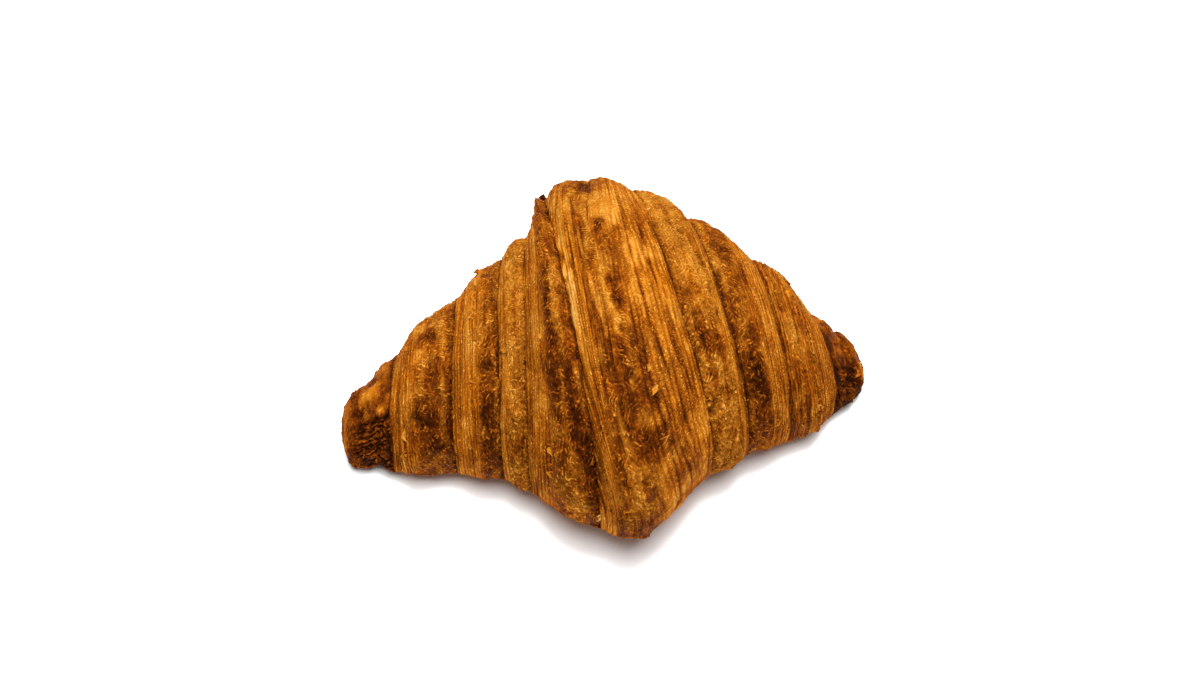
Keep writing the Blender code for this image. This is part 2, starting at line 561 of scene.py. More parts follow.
@dataclass(frozen=True)
class Wrap:
    """One wrap of dough: a closed shell from its cut edge to under the next wrap.

    first, last: rings between which it shows
    line_pitch: millimetres between the layers that show in a cut edge
    line_depth: depth of the grooves between them
    streaks: how strongly the layers' lines carry on over the tread
    edge_brown, tread_brown: how brown the cut edge and the tread are, 0 to 1
    lump, blister, wrinkle: heights of the tread's relief in millimetres
    wrinkle_long, wrinkle_wide: size of a wrinkle across the wrap and round the roll
    crevice: how far the tread dips before the next wrap's foot
    """

    name: str
    first: int
    last: int
    left: End
    right: End
    seed: int
    edge_brown: float = 0.525
    tread_brown: float = 0.65
    # Painted shade: how much darker the crust is made towards the front of the roll.
    front_shade: float = 0.07
    darkest: float = 0.90
    line_pitch: float = 0.9
    line_depth: float = 0.5
    line_contrast: float = 1.0
    band_pitch: float = 3.2
    bend: float = 0.9
    lean: float = 0.0
    groove: float = 0.2
    streaks: float = 0.35
    streak_bias: float = 0.0
    lump: float = 0.5
    blister: float = 0.4
    film_bias: float = 0.15
    band_depth: float = 0.5
    band_contrast: float = 0.38
    band_share: float = 0.45
    groove_brown: float = 0.13
    wrinkle: float = 0.35
    plate: float = 0.40
    plate_long: float = 2.6
    plate_wide: float = 2.0
    crease_highlight: float = 0.16
    cloud: float = 0.07
    puff: float = 0.0
    wrinkle_long: float = 2.6
    wrinkle_wide: float = 1.1
    hatch_ways: tuple = ((1.0, 0.5, 0.3), (1.0, -0.6, -0.3), (0.4, 1.0, -0.5))
    crevice: float = 0.25
    # Painted shade where the wrap runs under its neighbour.
    seam_shade: float = 0.17
    warmth: float = 0.30
    patches: tuple = ()
    row_mm: float = 0.18
    column_mm: float = 0.30
    undercut: float = 3.0
    tuck: float = 2.6

    def ring_pitch(self) -> float:
        """Millimetres along X for each ring that the wrap spans."""
        return (RINGS[self.last].along - RINGS[self.first].along) / (self.last - self.first)

    def skin_length(self) -> float:
        """Rough length over the skin from the first to the last ring, in millimetres."""
        left, right = RINGS[self.first], RINGS[self.last]
        climb = abs(right.half_width - left.half_width) + (left.step + right.step) / 2
        return float(np.hypot(right.along - left.along, climb))

    def rows(self, roll: Roll, fineness: float) -> tuple[Array, Array, Array, Array]:
        """Rows from the left pole to the right pole.

        Each end is either an undercut below the foot of a cut edge, a run tucked under
        the next wrap, or a cap drawn together over the tip. Rows with a shrink below 1
        close the shell inside, where its neighbours hide it.

        Args:
            roll: the large form.

        Returns:
            Spots, lifts and shrinks, and which rows can be seen.
        """
        knots, heights = roll.step_knots(self.first, self.last)
        heights[self.middle_knot()] += self.puff
        count = int(self.skin_length() / self.row_mm * fineness)
        spots = np.linspace(self.first, self.last, count)
        lift = 0.35 * through(knots, heights, spots) + 0.65 * np.interp(spots, knots, heights)
        left = self.end_rows(roll, self.left, -1, spots[0], lift[0], fineness)
        right = self.end_rows(roll, self.right, 1, spots[-1], lift[-1], fineness)
        return (
            np.concatenate((left[0][::-1], spots, right[0])),
            np.concatenate((left[1][::-1], lift, right[1])),
            np.concatenate((left[2][::-1], np.ones(count), right[2])),
            np.concatenate((left[3][::-1], np.ones(count), right[3])),
        )

    def middle_knot(self) -> int:
        """Which of step_knots' knots is the tread's middle."""
        return 1 if RINGS[self.first].faces >= 0 else 2

    def end_rows(
        self, roll: Roll, end: End, way: int, spot: float, lift: float, fineness: float
    ) -> tuple[Array, Array, Array, Array]:
        """Rows past one end of the wrap, from its ring outwards and inside.

        Args:
            roll: the large form.
            end: how this end is finished.
            way: -1 at the left end, 1 at the right end.
            spot: place of the end ring.
            lift: height there.
            fineness: 1 for full detail.

        Returns:
            Spots, lifts, shrinks and which rows can be seen.
        """
        per_mm = way / self.ring_pitch()
        if end is End.TIP:
            cap = roll.left_cap if way < 0 else roll.right_cap
            count = int(2.2 * cap / self.row_mm * fineness)
            t, shrink = roll.closing(count)
            return spot + way * t, np.full(count, lift), shrink, np.ones(count)
        if end is End.CUT:
            count = max(4, int(self.undercut / self.row_mm / 1.5 * fineness))
            depth = np.linspace(0.0, self.undercut, count + 1)[1:]
            inward = 0.7 * np.sin(np.pi / 2 * depth / self.undercut)
            spots = spot - per_mm * inward
            seen = np.where(depth < 1.5, 1.0, 0.0)
            inner = spot - per_mm * np.array((1.6, 1.8))
            return (
                np.concatenate((spots, inner)),
                np.concatenate((lift - depth, np.full(2, lift - self.undercut))),
                np.concatenate((np.ones(count), (0.75, 0.4))),
                np.concatenate((seen, (0.0, 0.0))),
            )
        count = max(4, int(self.tuck / self.row_mm / 2.0 * fineness))
        under = np.linspace(0.0, self.tuck, count + 1)[1:]
        spots = spot + per_mm * under
        sink = lift - 1.1 * (under / self.tuck) ** 2
        seen = np.where(under < 1.0, 1.0, 0.0)
        inner = spot + per_mm * (self.tuck + np.array((0.2, 0.4)))
        return (
            np.concatenate((spots, inner)),
            np.concatenate((sink, np.full(2, sink[-1]))),
            np.concatenate((np.ones(count), (0.75, 0.4))),
            np.concatenate((seen, (0.0, 0.0))),
        )

    def columns(self, fineness: float) -> Array:
        """Angles round the roll: close where the crust shows, wider on the underside."""
        around = 0.82 * 2.0 * np.pi * max(RINGS[self.first].half_width, RINGS[self.last].half_width)
        probe = np.linspace(-np.pi, np.pi, 721)
        density = 1.0 - 0.7 * smooth_step(np.radians(112), np.radians(140), np.abs(probe))
        total = np.concatenate(((0.0,), np.cumsum((density[1:] + density[:-1]) / 2)))
        count = BAKE_STRIPS * int(around * total[-1] / 720 / self.column_mm * fineness / BAKE_STRIPS)
        return np.interp(np.linspace(0.0, total[-1], count, endpoint=False), total, probe)

    def foot_distance(self, grid: Grid, end: End, at_left: bool) -> Array:
        """Millimetres over the skin from the foot of the cut edge at one end."""
        if end is not End.CUT:
            return np.full(grid.across.shape, 1e3)
        if at_left:
            return grid.across
        return self.skin_length() - grid.across

    def lined(self, grid: Grid) -> Array:
        """1 where the cut layers show, fading over the tread, with an uneven edge."""
        uneven = 1.2 * grid.along_lines(9.0, 4.0, 3, self.seed + 40)
        left_length = RINGS[self.first].riser * self.ring_pitch() * 1.25
        right_length = RINGS[self.last].riser * self.ring_pitch() * 1.25
        left = self.foot_distance(grid, self.left, True) + uneven
        right = self.foot_distance(grid, self.right, False) + uneven
        mask = 1.0 - smooth_step(0.85 * left_length, 1.15 * left_length + 0.6, left)
        return np.maximum(mask, 1.0 - smooth_step(0.85 * right_length, 1.15 * right_length + 0.6, right))

    def layer_lines(self, grid: Grid, pitch: float, seed: int) -> Layers:
        """Edges of stacked leaves, of uneven width, each with a height of its own.

        The distance over the skin, bent a little by noise, is counted in leaves. Each
        boundary is moved by up to half a leaf and is more or less cut in, both by noise
        that changes slowly along it. A leaf slopes from its upper edge down to the next
        one, and a narrow groove lies at each boundary.

        Args:
            grid: the wrap's grid.
            pitch: mean width of a leaf in millimetres.
            seed: picks one of many patterns.

        Returns:
            The leaves.
        """
        bend = self.bend * grid.along_lines(38.0, 11.0, 2, seed) + 0.08 * grid.along_lines(4.0, 2.0, 2, seed + 3)
        share = np.clip((self.last - grid.spots) / (self.last - self.first), 0.0, 1.0)
        bend -= self.lean * share * smooth_step(np.radians(15.0), np.radians(95.0), np.abs(grid.angle))
        count = (grid.across + bend) / pitch
        whole = np.floor(count)
        x, y = self.angle_circle(grid, 19.0)
        low = np.full(count.shape, -1e3)
        high = np.full(count.shape, 1e3)
        leaf, low_cut, high_cut = (np.zeros(count.shape) for _ in range(3))
        for offset in (-1.0, 0.0, 1.0, 2.0):
            index = whole + offset
            edge = index + 0.55 * noise(x, y, index * 5.17, seed + 5)
            cut = smooth_step(-0.5, 0.5, noise(1.6 * x, 1.6 * y, index * 2.91, seed + 6))
            below = (edge <= count) & (edge > low)
            above = (edge > count) & (edge < high)
            low, leaf, low_cut = (
                np.where(below, new, old) for new, old in ((edge, low), (index, leaf), (cut, low_cut))
            )
            high, high_cut = np.where(above, edge, high), np.where(above, cut, high_cut)
        part = np.clip((count - low) / (high - low), 0.0, 1.0)
        own = np.clip(0.5 + 0.8 * fractal(x, y, leaf * 7.31, 3, seed + 7), 0.0, 1.0)
        tone = noise(0.8 * x, 0.8 * y, leaf * 3.77, seed + 9)
        width = self.groove * np.sqrt(pitch / self.line_pitch)
        groove = low_cut * np.exp(-(((count - low) * pitch / width) ** 2))
        groove += high_cut * np.exp(-(((high - count) * pitch / width) ** 2))
        slope = 1.0 - part if self.left is End.TUCKED else part
        height = (0.3 + 0.7 * own) * (0.45 + 0.55 * slope) - 0.6 * groove - 0.3
        return Layers(height, groove, np.sin(np.pi * part) ** 1.4, own, tone)

    def tread_relief(self, grid: Grid, film: Array) -> tuple[Array, Array]:
        """The tread's lumps, blisters, creases and wrinkles.

        Blisters are domes over scattered points. Where the glaze is a film it is
        crumpled: the cells round scattered points sink, and a thin raised crease runs
        where two of them meet. Elsewhere it is finely wrinkled.

        Args:
            grid: the wrap's grid.
            film: 1 where the glaze is a smooth film.

        Returns:
            The relief in millimetres, and how much darker it makes the crust, with painted highlights on the raised
            creases, folds and wrinkles.
        """
        lumps = self.lump * grid.in_space(8.5, 2, self.seed + 11)
        x, y, z = np.moveaxis(grid.place / 3.8, -1, 0)
        distance, _, own = scattered(x, y, z, self.seed + 13)
        dome = np.sqrt(np.clip(1.0 - (distance / (0.35 + 0.3 * own)) ** 2, 0.0, 1.0))
        dome *= smooth_step(0.35, 0.6, own)

        bend = grid.in_space(4.0, 2, self.seed + 15)
        turn = grid.in_space(4.0, 2, self.seed + 16)
        x, y = self.angle_circle(grid, self.plate_long)
        nearest, second, plate = scattered(
            x + 0.55 * bend, y + 0.55 * turn, grid.across / self.plate_wide + 0.7 * bend, self.seed + 14
        )
        shown = smooth_step(-0.35, 0.25, grid.in_space(2.6, 1, self.seed + 17))
        crease = shown * np.exp(-(((second - nearest) / 0.15) ** 2))
        crumple = 0.5 * (plate - 0.5) + 0.6 * nearest + 1.0 * crease - 0.5

        x, y = self.angle_circle(grid, self.wrinkle_wide)
        folds = noise(x + bend, y + turn, grid.across / self.wrinkle_long, self.seed + 19)
        folds = 1.0 - np.clip(np.abs(folds) * 3.0, 0.0, 1.0)
        hatch = self.hatch(grid)
        relief = lumps + self.blister * dome + self.wrinkle * (1.0 - 0.6 * film) * (folds - 0.3)
        relief += self.plate * (0.3 + 0.7 * film) * crumple + 0.14 * hatch * (1.0 - film)
        # Raised creases, folds and wrinkles are made paler: painted highlights on their crests.
        brown = film * (0.08 * (plate - 0.5) - self.crease_highlight * (crease - 0.12))
        brown += (1.0 - film) * (0.08 * (plate - 0.5) - 0.06 * (folds - 0.2) - 0.04 * hatch - 0.06 * crease)
        brown += self.cloud * grid.in_space(4.6, 3, self.seed + 18)
        return relief, brown

    def hatch(self, grid: Grid) -> Array:
        """Fine wrinkles across the wrap, in patches that lean one way or another.

        In each of three directions, noise drawn out along it is ridged: one minus its
        size. Slow noise picks the direction that shows.

        Args:
            grid: the wrap's grid.

        Returns:
            A field of about -0.5 to 0.5, high on the wrinkles.
        """
        total = np.zeros(grid.across.shape)
        weight = np.full(grid.across.shape, 1e-3)
        for number, way in enumerate(self.hatch_ways):
            picked = smooth_step(-0.25, 0.35, grid.in_space(5.5, 1, self.seed + 90 + number))
            lines = 1.0 - np.clip(2.6 * np.abs(grid.drawn_out(way, 3.4, 1.0, 2, self.seed + 95 + number)), 0.0, 1.0)
            total += picked * lines
            weight += picked
        return total / weight - 0.45

    def angle_circle(self, grid: Grid, size_mm: float) -> tuple[Array, Array]:
        """The angle as a point on the wrap's circle, in features of size_mm."""
        x = grid.radius * np.cos(grid.angle) / size_mm
        y = grid.radius * np.sin(grid.angle) / size_mm
        return x, y

    def crust(self, grid: Grid) -> Crust:
        """Relief, darkness, gloss and warmth over the wrap; the darkness carries painted light and shade as well as the
        crust's colour.

        Args:
            grid: the wrap's grid.

        Returns:
            The crust over the grid.
        """
        lined = self.lined(grid)
        lines = self.layer_lines(grid, self.line_pitch, self.seed)
        bands = self.layer_lines(grid, self.band_pitch, self.seed + 80)
        carried = grid.along_lines(22.0, 3.0, 2, self.seed + 29) + self.streak_bias
        streak = self.streaks * smooth_step(-0.35, 0.35, carried)
        amount = np.maximum(lined, streak)
        strip = 0.6 * (bands.own - 0.5) + 0.6 * bands.crest - 0.25 * bands.groove - 0.3
        broad = 1.0 - (1.0 - self.band_share) * lined
        height = amount * (self.line_depth * lines.height + self.band_depth * broad * strip) - 0.15
        # The crest terms are painted light and shade of the layers' relief: each leaf and band is paler on its crest
        # and darker towards its edges.
        browning = 0.17 * lines.groove - 0.13 * (lines.own - 0.5) + 0.15 * (0.5 - lines.crest)
        broken = smooth_step(-0.45, 0.45, grid.along_lines(2.8, 0.9, 2, self.seed + 35))
        browning = self.line_contrast * browning * (0.35 + 0.95 * broken) + 0.10 * (0.5 - broken)
        wide = 0.12 * (0.5 - bands.crest) - 0.30 * (bands.own - 0.5) + 0.10 * bands.tone
        wide = self.band_contrast * broad * wide + self.groove_brown * bands.groove
        browning = amount * (browning + wide)

        film, deep, rise = self.film(grid)
        relief, brown = self.tread_relief(grid, film)
        height += (1.0 - 0.8 * lined) * relief + rise
        tread = self.tread_brown + 0.12 * (film - 0.5) + (1.0 - 0.8 * amount) * brown
        browning += self.edge_brown * lined + tread * (1.0 - lined) + 0.1 * lined * (film - 0.5) + deep
        # Painted light and shade: darker towards the front and paler towards the back, as when lit from above and
        # behind.
        browning += 0.04 * grid.in_space(0.7, 2, self.seed + 39) + self.front_shade * np.sin(grid.angle)
        browning, height = self.creases(grid, browning, height)
        under = smooth_step(-0.45, -0.85, np.cos(grid.angle)) * grid.off_pole()
        browning = browning * (1.0 - 0.55 * under) + 0.30 * under
        height = height * (1.0 - 0.75 * under) * grid.exposed
        gloss = np.clip(0.35 + 0.5 * film * (1.0 - lined) - 0.4 * under, 0.0, 1.0)
        reddened = 0.16 + 0.35 * lines.groove + 0.35 * bands.groove
        warmth = self.warmth + reddened * lined + 0.65 * film * (1.0 - 0.6 * lined)
        warmth = warmth + 0.35 * grid.in_space(9.0, 2, self.seed + 53)
        warmth = np.clip(warmth, 0.0, 1.0)
        # Where beads show, lightened in the finish as painted glints: on the leaves' crests and on the tread outside
        # the film.
        beaded = np.clip(lined * (0.2 + 0.8 * lines.crest) + (1.0 - lined) * (0.35 - 0.35 * film), 0.0, 1.0)
        creased = np.clip((1.0 - lined) * (1.0 - 0.75 * amount) * (1.0 - under), 0.0, 1.0)
        return Crust(height, np.clip(browning, 0.0, self.darkest), gloss, warmth, beaded, creased)

    def film(self, grid: Grid) -> tuple[Array, Array, Array]:
        """Where the glaze has browned to a smooth film, with crisp uneven edges.

        Noise drawn out along the wrap is cut off sharply; patches shift where it is cut
        and darken or lighten the crust in their middles.

        Args:
            grid: the wrap's grid.

        Returns:
            The film, 0 to 1, how much browner the patches are, and how far they rise.
        """
        drift = 0.8 * grid.along_lines(9.0, 3.6, 2, self.seed + 31) + 0.15 * grid.in_space(1.7, 2, self.seed + 37)
        share = (grid.spots - self.first) / (self.last - self.first) + 0.06 * grid.in_space(6.0, 2, self.seed + 41)
        degrees = np.degrees(grid.angle) + 5.0 * grid.in_space(5.0, 2, self.seed + 43)
        deep = np.zeros(drift.shape)
        rise = np.zeros(drift.shape)
        for patch in self.patches:
            where = bell(share, patch.across, patch.wide) * bell(degrees, patch.angle, patch.long)
            where = where * grid.off_pole()
            deep += patch.browning * where
            rise += patch.rise * where
        film = smooth_step(-0.34, 0.40, drift + self.film_bias + 2.6 * deep)
        return film, 0.62 * deep, rise

    def creases(self, grid: Grid, browning: Array, height: Array) -> tuple[Array, Array]:
        """Deepens the crust where it runs under a neighbour, and paints shade into it there and at the foot of a cut
        edge.

        Args:
            grid: the wrap's grid.
            darkness: darkness so far.
            height: relief so far.

        Returns:
            Darkness and relief with the creases and their painted shade.
        """
        wander = 1.0 + 0.6 * grid.along_lines(14.0, 6.0, 2, self.seed + 61)
        for end, from_end in (
            (self.left, grid.across), (self.right, self.skin_length() - grid.across),
        ):
            if end is End.TUCKED:
                near = np.exp(-np.clip(from_end, 0.0, None) / 0.9)
                # Painted shade in the crease where the wrap runs under its neighbour.
                browning = browning + self.seam_shade * wander * near
                height = height - self.crevice * wander * near * self.dip(grid)
            if end is End.CUT:
                # Painted shade at the foot of a cut edge, where it meets the wrap below.
                browning = browning + 0.24 * wander * np.exp(-np.clip(from_end, 0.0, None) / 0.45)
        return browning, height

    def dip(self, grid: Grid) -> Array:
        """Share of the crevice's depth round the roll: none on the underside."""
        return smooth_step(-0.5, 0.0, np.cos(grid.angle))

    def build(self, roll: Roll, finish: "CrustFinish", fineness: float) -> bpy.types.Object:
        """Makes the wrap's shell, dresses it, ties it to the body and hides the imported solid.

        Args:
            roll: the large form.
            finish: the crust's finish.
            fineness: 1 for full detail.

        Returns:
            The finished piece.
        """
        spots, lift, shrink, exposed = (row[:, None] for row in self.rows(roll, fineness))
        angle = self.columns(fineness)[None, :]
        fade = roll.fade(angle)
        base_lift = fade * (lift + roll.swell(spots, angle))
        plain = roll.skin(spots, angle, base_lift, shrink)
        along = (spots - self.first) / (self.last - self.first) * self.skin_length()
        grid = Grid(
            spots=spots,
            angle=angle,
            across=np.broadcast_to(along, base_lift.shape),
            exposed=exposed,
            place=plain,
            radius=(RINGS[self.first].half_width + RINGS[self.last].half_width) / 2 * 0.85,
        )
        crust = self.crust(grid)
        points = plain + crust.height[..., None] * outward(plain)
        floor = 0.5 * (1.0 - exposed) * np.ones_like(angle)
        pits = 0.35 * np.clip(grid.in_space(2.2, 2, self.seed + 67), 0.0, 1.0)
        points[..., 2] = np.maximum(points[..., 2], floor + pits * exposed)
        piece = closed_shell(self.name, roll.placed(points), crust)
        finish.dress(piece)
        attach(piece)
        return piece


@dataclass(frozen=True)
class TipWrap(Wrap):
    """A wrap that closes the roll at a tip, under the flap that folds over its front.

    flap_edge, flap_lower_edge: angles between which the dough drops below the flap
    pleat_pitch, pleat_depth: the pleats that run out along the roll below the flap
    """

    flap_depth: float = 1.4
    flap_edge: float = 48.0
    flap_lower_edge: float = 125.0
    flap_softness: float = 9.0
    pleat_pitch: float = 1.6
    pleat_depth: float = 0.9
    pleat_brown: float = 0.26
    pleat_shading: float = 1.0

    def below_flap(self, grid: Grid) -> Array:
        """1 on the front under the flap's fold, whose line wanders a little."""
        wander = np.radians(4.0) * grid.in_space(6.0, 2, self.seed + 71)
        upper = smooth_step(
            np.radians(self.flap_edge), np.radians(self.flap_edge + self.flap_softness), grid.angle + wander
        )
        lower = 1.0 - smooth_step(
            np.radians(self.flap_lower_edge), np.radians(self.flap_lower_edge + self.flap_softness), grid.angle
        )
        return upper * lower

    def crust(self, grid: Grid) -> Crust:
        """The wrap's crust with the flap's fold, and pleats below it.

        Pleats are ridged waves across the angle, bent by noise, so they run along X.

        Args:
            grid: the wrap's grid.

        Returns:
            The crust over the grid.
        """
        crust = super().crust(grid)
        below = self.below_flap(grid)
        last = len(RINGS) - 1.0
        from_end = np.clip(np.minimum(grid.spots, last - grid.spots), 0.0, 1.0)
        along = np.sin(np.pi * from_end) ** 2
        bend = 1.1 * grid.in_space(4.0, 3, self.seed + 73)
        count = grid.radius * grid.angle / self.pleat_pitch + bend
        part = count - np.floor(count)
        pleat = np.sin(np.pi * part) ** 0.6
        on_roll = smooth_step(-0.6, 0.1, np.minimum(grid.spots, last - grid.spots))
        reach = below * on_roll
        height = crust.height - self.flap_depth * along * below
        uneven = smooth_step(-0.5, 0.5, grid.in_space(2.6, 2, self.seed + 75))
        height += reach * self.pleat_depth * (0.4 + 0.8 * uneven) * (pleat - 0.6)
        # Painted shade along the flap's fold line.
        fold_line = on_roll * below * (1.0 - below) * 4.0
        # Painted light and shade over the pleats: paler on their crests, darker in their troughs.
        streak = self.pleat_shading * (0.25 + 0.4 * uneven) * (pleat - 0.5)
        browning = crust.browning + reach * (self.pleat_brown - streak) + 0.16 * fold_line
        gloss = np.clip(crust.gloss + 0.3 * (1.0 - below), 0.0, 1.0)
        beaded = crust.beaded * 0.4
        creased = crust.creased * (0.35 + 0.3 * below)
        return Crust(height * grid.exposed, np.clip(browning, 0.0, 1.0), gloss, crust.warmth, beaded, creased)


@dataclass(frozen=True)
class Leaf:
    """One loose leaf of crust.

    spot, angle: where its root is: a place in rings, and degrees from the top
    way: -1 where its free edge points to the left tip, 1 to the right tip
    long, wide, curl: length round the roll, reach and rise of its free edge, in mm
    darkness, warmth: its colour
    """

    spot: float
    angle: float
    way: int
    long: float
    wide: float
    curl: float
    browning: float
    warmth: float = 0.4


@dataclass(frozen=True)
class Flakes:
    """Small leaves of crust that have come loose at the cut edges and curled up.

    leaves: those with a place of their own
    count: how many more are spread over the upper rims of the cut edges
    """

    name: str = "loose_flakes"
    leaves: tuple = ()
    count: int = 64
    seed: int = 11
    across_points: int = 7
    around_points: int = 11
    thickness: float = 0.22
    root: float = 0.9
    sunk: float = 0.45
    lowest_angle: float = -58.0
    highest_angle: float = 84.0

    def spread(self) -> list[Leaf]:
        """Leaves at repeatable random places on the rims."""
        draw = np.random.default_rng(self.seed)
        rims = [
            (i - ring.faces * ring.riser * draw.uniform(0.75, 1.05), ring.faces)
            for i, ring in enumerate(RINGS) if ring.faces
        ]
        leaves = []
        for _ in range(self.count):
            spot, way = rims[int(draw.integers(len(rims)))]
            leaves.append(Leaf(
                spot + draw.normal(0.0, 0.02), draw.uniform(self.lowest_angle, self.highest_angle), way,
                draw.uniform(1.4, 4.2), draw.uniform(0.3, 1.0), draw.uniform(0.1, 0.6),
                draw.uniform(0.42, 0.78), draw.uniform(0.2, 0.9),
            ))
        return leaves

    def rim_lift(self, roll: Roll, spots: Array) -> Array:
        """How far the stepped run stands off the roll at each place."""
        whole = np.clip(np.floor(spots).astype(int), 0, LAST - 1)
        runs = [roll.step_knots(int(first), int(first) + 1) for first in whole]
        return np.array([np.interp(spot, *run) for spot, run in zip(spots, runs)])

    def build(self, roll: Roll, finish: "CrustFinish") -> bpy.types.Object:
        """Makes all the leaves as one piece of many closed sheets.

        A sheet's rows run from its root, sunk in the crust, to its free edge, which
        rises by the power 1.6 of the share and is drawn in towards both ends by a
        half circle, with jags of noise. Its underside lies a thickness below.

        Args:
            roll: the large form.
            finish: the crust's finish.

        Returns:
            The finished piece.
        """
        leaves = [*self.leaves, *self.spread()]
        spot, angle, way, long, wide, curl, brown, warm = (
            np.array([getattr(leaf, name) for leaf in leaves], dtype=float)[:, None, None]
            for name in ("spot", "angle", "way", "long", "wide", "curl", "browning", "warmth")
        )
        number = np.arange(len(leaves), dtype=float)[:, None, None]
        share = np.linspace(0.0, 1.0, self.across_points)[None, :, None]
        side = np.linspace(-1.0, 1.0, self.around_points)[None, None, :]
        whole = np.clip(np.floor(spot).astype(int), 0, LAST - 1)
        rings = np.array([ring.along for ring in RINGS])
        widths = np.array([ring.half_width for ring in RINGS])
        pitch = rings[whole + 1] - rings[whole]
        jag = 1.0 + 0.45 * noise(2.2 * side, 7.7 * number, 0.5 * share, self.seed)
        reach = (self.root + wide) * share * np.sqrt(1.0 - 0.92 * side**2) * jag - self.root
        spots = spot + way * reach / pitch
        around = np.radians(angle) + (side + 0.12 * noise(3.0 * share, 5.3 * number, side, self.seed + 1)) * (
            long / 2.0 / widths[whole]
        )
        base = self.rim_lift(roll, spot.ravel())[:, None, None]
        rise = (self.sunk + curl) * share**1.6 + 0.15 * noise(side, 3.1 * number, 2.0 * share, self.seed + 2) * share
        lift = base - self.sunk + rise
        fade = roll.fade(around)
        shape = (len(leaves), self.across_points, self.around_points)
        spots, around, lift = (np.broadcast_to(a, shape) for a in (spots, around, fade * lift))
        lift = lift + fade * roll.swell(spots, around)
        top = self.points(roll, spots, around, lift)
        bottom = self.points(roll, spots, around, lift - self.thickness)
        shades = np.clip(brown - 0.10 * share + 0.10 * noise(4.0 * share, 6.1 * number, 3.0 * side, self.seed + 3), 0.0, 1.0)
        shades = np.broadcast_to(shades, shape).reshape(len(leaves), -1)
        warms = np.broadcast_to(warm, shape).reshape(len(leaves), -1)
        vertices = np.stack((top, bottom), axis=1)
        sheet = self.across_points * self.around_points
        shares = {
            name: np.repeat(values[:, None], 2, axis=1).ravel()
            for name, values in (
                ("browning", shades), ("gloss", 0.0 * shades + 0.5), ("warmth", warms),
                ("beaded", 0.0 * shades + 0.3), ("creased", 0.0 * shades + 0.2),
            )
        }
        faces = self.sheet_faces()[None] + 2 * sheet * np.arange(len(leaves))[:, None, None]
        flipped = np.where(way.ravel()[:, None, None] > 0, faces[..., ::-1], faces)
        piece = write_mesh(self.name, roll.placed(vertices.reshape(-1, 3)), [flipped.reshape(-1, 4)], shares, None)
        finish.dress(piece)
        attach(piece)
        return piece

    def points(self, roll: Roll, spots: Array, around: Array, lift: Array) -> Array:
        """Points of every sheet: each is read as a row of its own of the roll.

        Args:
            roll: the large form.
            spots: places along the roll.
            around: angles round it.
            lift: how far the points stand off.

        Returns:
            Leaves, points and coordinates, in millimetres.
        """
        flat = [values.reshape(-1, 1) for values in (spots, around, lift)]
        return roll.skin(*flat, np.ones_like(flat[0])).reshape(len(spots), -1, 3)

    def sheet_faces(self) -> Array:
        """Quads of one closed sheet: its top, its underside and its rim."""
        rows, columns = self.across_points, self.around_points
        top = np.arange(rows * columns).reshape(rows, columns)
        under = top + rows * columns
        quads = np.stack((top[:-1, :-1], top[1:, :-1], top[1:, 1:], top[:-1, 1:]), axis=-1).reshape(-1, 4)
        loop = np.concatenate((top[0, :-1], top[:-1, -1], top[-1, :0:-1], top[:0:-1, 0]))
        after = np.roll(loop, -1)
        rim = np.stack((loop, after, after + rows * columns, loop + rows * columns), axis=-1)
        return np.concatenate((quads, (quads + rows * columns)[:, ::-1], rim))


# ---------------------------------------------------------------- meshes


def outward(points: Array) -> Array:
    """Unit normals of a grid: the cross product of its two gradients.

    The gradient round the roll is taken across the seam, where the columns close.
    """
    across = np.gradient(points, axis=0)
    around = (np.roll(points, -1, axis=1) - np.roll(points, 1, axis=1)) / 2.0
    normal = np.cross(around, across)
    return normal / np.maximum(np.linalg.norm(normal, axis=-1, keepdims=True), 1e-9)


def write_mesh(
    name: str, vertices: Array, faces: list[Array], shares: dict[str, Array], uv: Array | None
) -> bpy.types.Object:
    """Puts arrays of vertices and faces into a new object.

    Args:
        name: the object's name.
        vertices: corners in metres.
        faces: arrays of faces, each with one number of corners.
        shares: values for each vertex, by attribute name.
        uv: a place in the bake for each face corner, or None.

    Returns:
        The object, linked to the scene.
    """
    mesh = bpy.data.meshes.new(name)
    mesh.vertices.add(len(vertices))
    mesh.vertices.foreach_set("co", vertices.astype(np.float32).ravel())
    corners = np.concatenate([group.ravel() for group in faces])
    sizes = np.concatenate([np.full(len(group), group.shape[1]) for group in faces])
    starts = np.concatenate(((0,), np.cumsum(sizes)[:-1]))
    mesh.loops.add(len(corners))
    mesh.loops.foreach_set("vertex_index", corners.astype(np.int32))
    mesh.polygons.add(len(sizes))
    mesh.polygons.foreach_set("loop_start", starts.astype(np.int32))
    mesh.update(calc_edges=True)
    if uv is not None:
        layer = mesh.uv_layers.new(name="OFBake")
        layer.uv.foreach_set("vector", uv.astype(np.float32).ravel())
    for share, values in shares.items():
        attribute = mesh.attributes.new(share, "FLOAT", "POINT")
        attribute.data.foreach_set("value", values.astype(np.float32).ravel())
    mesh.shade_smooth()
    mesh.validate()
    piece = bpy.data.objects.new(name, mesh)
    bpy.context.scene.collection.objects.link(piece)
    return piece


